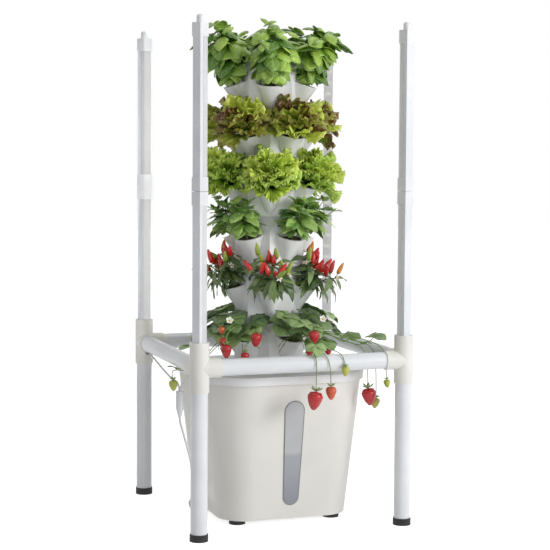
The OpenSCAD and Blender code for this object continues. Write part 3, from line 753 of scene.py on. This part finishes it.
# Berries that hang clear of the pockets: pocket, way of the stalk to its end in mm, size in mm, ripeness
OVER_RAIL = (
    (4, ((16, -190, 458), (20, -245, 434), (22, -270, 424), (23, -280, 404), (22, -281, 340)), 45, 1.0),
    (4, ((30, -190, 460), (42, -245, 435), (48, -270, 424), (56, -280, 404), (60, -281, 350)), 32, 0.72),
    (4, ((52, -190, 456), (76, -245, 434), (90, -272, 422), (96, -283, 396)), 23, 0.1),
    (4, ((80, -165, 462), (140, -190, 442), (180, -202, 415), (189, -200, 328)), 44, 1.0),
    (4, ((86, -160, 464), (150, -180, 446), (205, -192, 418), (215, -190, 302)), 27, 0.12),
    (4, ((90, -155, 466), (170, -170, 450), (235, -182, 420), (247, -180, 344)), 21, 0.1),
    (3, ((-84, -150, 484), (-90, -172, 470)), 34, 1.0),
    (3, ((-120, -130, 486), (-158, -160, 470), (-166, -170, 444)), 33, 1.0),
    (3, ((-120, -110, 500), (-160, -136, 494), (-169, -140, 484)), 20, 0.7),
    (3, ((-118, -118, 492), (-160, -146, 474), (-167, -150, 458)), 22, 0.9),
    (3, ((-100, -150, 458), (-116, -166, 436), (-118, -170, 424)), 26, 1.0),
    (4, ((46, -180, 486), (46, -208, 474)), 33, 1.0),
    (4, ((36, -170, 462), (35, -196, 446), (34, -200, 434)), 24, 0.85),
    (4, ((70, -150, 470), (90, -176, 448), (91, -180, 434)), 24, 0.9),
    (3, ((-150, -90, 440), (-205, -78, 388), (-240, -76, 374), (-262, -80, 375), (-282, -112, 376),
         (-285, -130, 359)), 27, 0.1),
)
# Leaves on runners: pocket, way of the stalk in mm, size in mm, facing and rise in degrees
RUNNER_LEAVES = (
    (4, ((90, -150, 462), (140, -160, 440), (158, -152, 450)), 34, 30, 36),
    (4, ((96, -150, 462), (190, -165, 436), (224, -152, 448)), 38, 20, 24),
    (4, ((92, -150, 460), (170, -160, 432), (196, -150, 434)), 22, -30, 10),
    (4, ((24, -170, 470), (26, -230, 452), (28, -262, 446)), 32, -90, -30),
    (3, ((-150, -80, 444), (-205, -66, 388), (-242, -64, 375), (-266, -72, 381)), 20, 200, 20),
    (2, ((-110, 80, 450), (-176, 60, 414)), 46, 190, 4),
)
# Flowers: pocket, way of the stalk in mm, size in mm
BLOOMS = (
    (3, ((-100, -120, 505), (-150, -146, 498)), 11),
    (4, ((60, -140, 500), (84, -160, 496)), 11),
)


def hang_trusses(shape, tier, rng):
    """Stalks that leave the pockets, with their berries, leaves and flowers"""
    def route(index, way):
        start = pocket(tier, index) @ Vector((8 * MM, 0, -3 * MM))
        rise = pocket(tier, index) @ Vector((14 * MM, 0, 22 * MM))
        return smooth([start, rise] + [Vector(p) * MM for p in way], BOW_STEPS)

    still = Matrix.Identity(4)
    for index, way, size, ripe in OVER_RAIL:
        line = route(index, way)
        stalk(shape, still, line, 1.1 * MM, 0.8 * MM)
        head = Matrix.Translation(line[-1]) @ Matrix.Rotation(rng.uniform(-0.2, 0.2), 4, "Y")
        berry(shape, head, size * MM, ripe, rng)
    for index, way, size, facing, rise in RUNNER_LEAVES:
        trefoil(shape, still, route(index, way), size * MM, facing, rise, rng)
    for index, way, size in BLOOMS:
        line = route(index, way)
        stalk(shape, still, line, 0.9 * MM, 0.7 * MM)
        head = Matrix.Translation(line[-1]) @ Matrix.Rotation(math.radians(60), 4, "X")
        flower(shape, head, size * MM, PETAL_FORM, rng)


# Radius round the axis that leaves keep out of, at the column and at the top cap, and a leaf's thickness
CLEAR_COLUMN = 80 * MM
CLEAR_CAP = 68 * MM
LEAF_THICK = 0.35 * MM
# Plant, its maker, its tier, the materials besides its leaf, and its seed
SPECIES = (
    ("basil", basil, 1, (STEM,), 11),
    ("red_lettuce", red_lettuce, 2, (STEM,), 22),
    ("green_lettuce", green_lettuce, 3, (STEM,), 33),
    ("mint", mint, 4, (STEM,), 44),
    ("chilli", chilli, 5, (STEM, CHILLI_SKIN, PETAL, POLLEN), 55),
    ("strawberry", strawberry, 6, (STEM, BERRY_SKIN, PETAL, POLLEN), 66),
)


def grow_all():
    """Grow each kind in all pockets of its tier, as one piece"""
    for name, grow, tier, extra, seed in SPECIES:
        rng = random.Random(seed)
        shape = Shape(f"{name}_plants", (LEAF[name],) + extra, CLEAR_CAP if tier == 1 else CLEAR_COLUMN)
        for index in range(POCKETS):
            grow(shape, pocket(tier, index), rng)
        if name == "strawberry":
            hang_trusses(shape, tier, rng)
        piece = shape.build(LEAF_THICK)
        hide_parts(name)


# Cords; the routes repeat those of the solids

LEAD_X = -257 * MM
LEAD_DIA = 5 * MM
CORD_DIA = 6 * MM
# Height in mm at which a cord lies on the floor
LAY = 3.9
# Lamp leads as y and z, the supply cord as x, y and z, all in mm
REAR_ROUTE = ((203, 376.5), (190, 376), (160, 373), (120, 366), (80, 359), (40, 352.5), (0, 347.5),
              (-30, 345), (-55, 344), (-70, 341.5), (-80, 336.5), (-85.5, 331), (-86.8, 325))
FRONT_ROUTE = ((-203, 376.5), (-190, 376), (-172, 372.5), (-154, 365), (-138, 357), (-122, 350),
               (-110, 344.5), (-102, 338.5), (-96.8, 332), (-95.2, 325))
SUPPLY_ROUTE = ((-257, -91, 262), (-256, -92, 248), (-250, -102, 220), (-241, -114, 178), (-231, -122, 130),
                (-223, -122, 80), (-216, -116, 36), (-209, -104, 11), (-203, -86, LAY), (-197, -50, LAY),
                (-193, 0, LAY), (-186, 60, LAY), (-168, 122, LAY), (-130, 162, LAY), (-84, 176, LAY),
                (-40, 177, LAY))
# Coil: middle, outer radius, step from turn to turn, dip where it climbs, turns to a layer
COIL_AT = Vector((0, 222 * MM, 0))
COIL_OUT = 45 * MM
COIL_STEP = 6.7 * MM
COIL_DIP = 2.4 * MM
COIL_TURNS = 3
# Points to each turn of the coil, and the part of a turn in which it climbs one layer
COIL_STEPS = 24
CLIMB = 0.5
# Straight end that runs to the plug
TAIL = 34 * MM
# Points to each stretch of a lead
LEAD_STEPS = 3


def coil_points():
    """Inwards on the floor, up one layer in half a turn, then outwards to the plug"""
    inner = COIL_OUT - COIL_TURNS * COIL_STEP
    last = 2 * COIL_TURNS + CLIMB
    points = []
    for i in range(int(COIL_STEPS * last) + 1):
        t = i / COIL_STEPS
        rise = min(1, max(0, (t - COIL_TURNS) / CLIMB))
        if t < COIL_TURNS:
            radius = COIL_OUT - COIL_STEP * t
        elif t < COIL_TURNS + CLIMB:
            radius = inner - COIL_DIP * math.sin(math.tau * (t - COIL_TURNS))
        else:
            radius = inner + COIL_STEP * (t - COIL_TURNS - CLIMB)
        angle = math.tau * t - math.pi / 2
        spot = (radius * math.cos(angle), radius * math.sin(angle), LAY * MM + COIL_STEP * rise)
        points.append(COIL_AT + Vector(spot))
    end = points[-1]
    return points + [end - Vector((TAIL / 2, 0, 0)), end - Vector((TAIL, 0, 0))]


def cord_piece(name, points, diameter, *nodes):
    """Round cord along points that stands for the given nodes"""
    curve = bpy.data.curves.new(name, "CURVE")
    curve.dimensions = "3D"
    curve.bevel_depth = diameter / 2
    curve.bevel_resolution = 3
    curve.use_fill_caps = True
    spline = curve.splines.new("POLY")
    spline.points.add(len(points) - 1)
    for knot, spot in zip(spline.points, points):
        knot.co = (*spot, 1)
    curve.materials.append(SLOTS["cord_grey"])
    piece = bpy.data.objects.new(name, curve)
    bpy.context.scene.collection.objects.link(piece)
    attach(piece, BODY)
    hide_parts(*nodes)
    return piece


def lay_cords():
    """Both lamp leads to the moulded joint, and the supply cord with its coil to the plug"""
    for name, route in (("lead_rear", REAR_ROUTE), ("lead_front", FRONT_ROUTE)):
        points = smooth([Vector((LEAD_X, y * MM, z * MM)) for y, z in route], LEAD_STEPS)
        piece = cord_piece(f"{name}_cord", points, LEAD_DIA, name)
    coil = coil_points()
    route = [Vector(p) * MM for p in SUPPLY_ROUTE]
    points = smooth(route + [coil[0]], BOW_STEPS)[:-1] + coil
    piece = cord_piece("supply_cord_run", points, CORD_DIA, "supply_cord", "cord_coil")


# Studio

# Camera: focal length and sensor in mm, eye in metres, angles, and shift as a share of the picture
LENS = 97
SENSOR = 36
EYE = Vector((-1.217, -3.515, 0.892))
YAW = math.radians(19.33)
PITCH = math.radians(3.52)
ROLL = math.radians(0.35)
SHIFT_Y = -0.05


def set_camera():
    data = bpy.data.cameras.new("camera")
    data.lens = LENS
    data.sensor_width = SENSOR
    data.shift_y = SHIFT_Y
    forward = Vector((math.sin(YAW) * math.cos(PITCH), math.cos(YAW) * math.cos(PITCH), -math.sin(PITCH)))
    right = Vector((math.cos(YAW), -math.sin(YAW), 0))
    up = right.cross(forward)
    tilted = right * math.cos(ROLL) + up * math.sin(ROLL)
    upright = up * math.cos(ROLL) - right * math.sin(ROLL)
    camera = bpy.data.objects.new("camera", data)
    camera.matrix_world = Matrix((
        (tilted.x, upright.x, -forward.x, EYE.x),
        (tilted.y, upright.y, -forward.y, EYE.y),
        (tilted.z, upright.z, -forward.z, EYE.z),
        (0, 0, 0, 1),
    ))
    bpy.context.scene.collection.objects.link(camera)
    bpy.context.scene.camera = camera


def seen_directly(tree):
    """1 for rays from the camera and for what metal and glass show"""
    path = tree.nodes.new("ShaderNodeLightPath")
    total = path.outputs["Is Camera Ray"]
    for name in ("Is Glossy Ray", "Is Transmission Ray"):
        either = tree.nodes.new("ShaderNodeMath")
        either.operation = "MAXIMUM"
        tree.links.new(total, either.inputs[0])
        tree.links.new(path.outputs[name], either.inputs[1])
        total = either.outputs[0]
    return total


# Light from all round
FILL = 0.36


def set_world():
    """Even light for the object, and white where the surroundings are seen"""
    world = bpy.data.worlds.new("studio")
    world.use_nodes = True
    tree = world.node_tree
    light = tree.nodes["Background"]
    light.inputs[0].default_value = (1, 1, 1, 1)
    light.inputs[1].default_value = FILL
    white = tree.nodes.new("ShaderNodeBackground")
    white.inputs[0].default_value = (1, 1, 1, 1)
    white.inputs[1].default_value = 1.0
    mix = tree.nodes.new("ShaderNodeMixShader")
    tree.links.new(seen_directly(tree), mix.inputs[0])
    tree.links.new(light.outputs[0], mix.inputs[1])
    tree.links.new(white.outputs[0], mix.inputs[2])
    tree.links.new(mix.outputs[0], tree.nodes["World Output"].inputs[0])
    bpy.context.scene.world = world


# Light that lifts the floor to white where it is seen, and half its side in metres
FLOOR_GLOW = 0.76
FLOOR_HALF = 14


def lay_floor():
    """White floor that takes shadows"""
    mesh = bpy.data.meshes.new("floor")
    corners = [(x * FLOOR_HALF, y * FLOOR_HALF, 0) for x, y in ((-1, -1), (1, -1), (1, 1), (-1, 1))]
    mesh.from_pydata(corners, [], [(0, 1, 2, 3)])
    floor = bpy.data.objects.new("floor", mesh)
    bpy.context.scene.collection.objects.link(floor)
    n = Nodes("floor_white")
    n.bump(n.noise(400), 0.05 * MM)
    n.finish(n.mix(n.noise(2), linear(244, 244, 244), linear(240, 240, 240)), 0.9)
    n.shader.inputs["Specular IOR Level"].default_value = 0.1
    n.shader.inputs["Emission Color"].default_value = (1, 1, 1, 1)
    glow = n.math("MULTIPLY", seen_directly(n.tree), FLOOR_GLOW)
    n.feed(n.shader.inputs["Emission Strength"], glow)
    mesh.materials.append(n.material)


# Soft lamps: place, aim, and width and height in metres, watts, fan in degrees
MIDDLE = (0, 0, 0.6)
LAMPS = (
    ("key", (2.6, -3.1, 1.7), MIDDLE, (1.7, 1.7), 84, 180),
    ("front", (0.2, -4.4, 1.5), MIDDLE, (2.2, 2.2), 10, 180),
    ("side", (-3.2, -1.6, 2.2), MIDDLE, (2.6, 2.6), 4, 180),
    ("top", (0.4, 0.6, 4.2), MIDDLE, (2.4, 2.4), 26, 180),
    ("edge", (-1.9, -1.35, 0.82), (-0.257, 0.257, 0.8), (0.15, 0.9), 0.12, 8),
    ("back", (2.2, 0.15, 0.82), (-0.257, 0.257, 0.8), (0.3, 0.9), 0.36, 8),
)


def hang_lamps():
    for name, spot, aim, size, power, fan in LAMPS:
        data = bpy.data.lights.new(name, "AREA")
        data.shape = "ELLIPSE"
        data.size, data.size_y = size
        data.energy = power
        data.spread = math.radians(fan)
        lamp = bpy.data.objects.new(name, data)
        lamp.location = spot
        lamp.rotation_euler = (Vector(aim) - Vector(spot)).to_track_quat("-Z", "Y").to_euler()
        bpy.context.scene.collection.objects.link(lamp)


set_camera()
lay_cords()
dress_cad()
grow_all()
set_world()
lay_floor()
hang_lamps()
bpy.context.scene.view_settings.view_transform = "Standard"
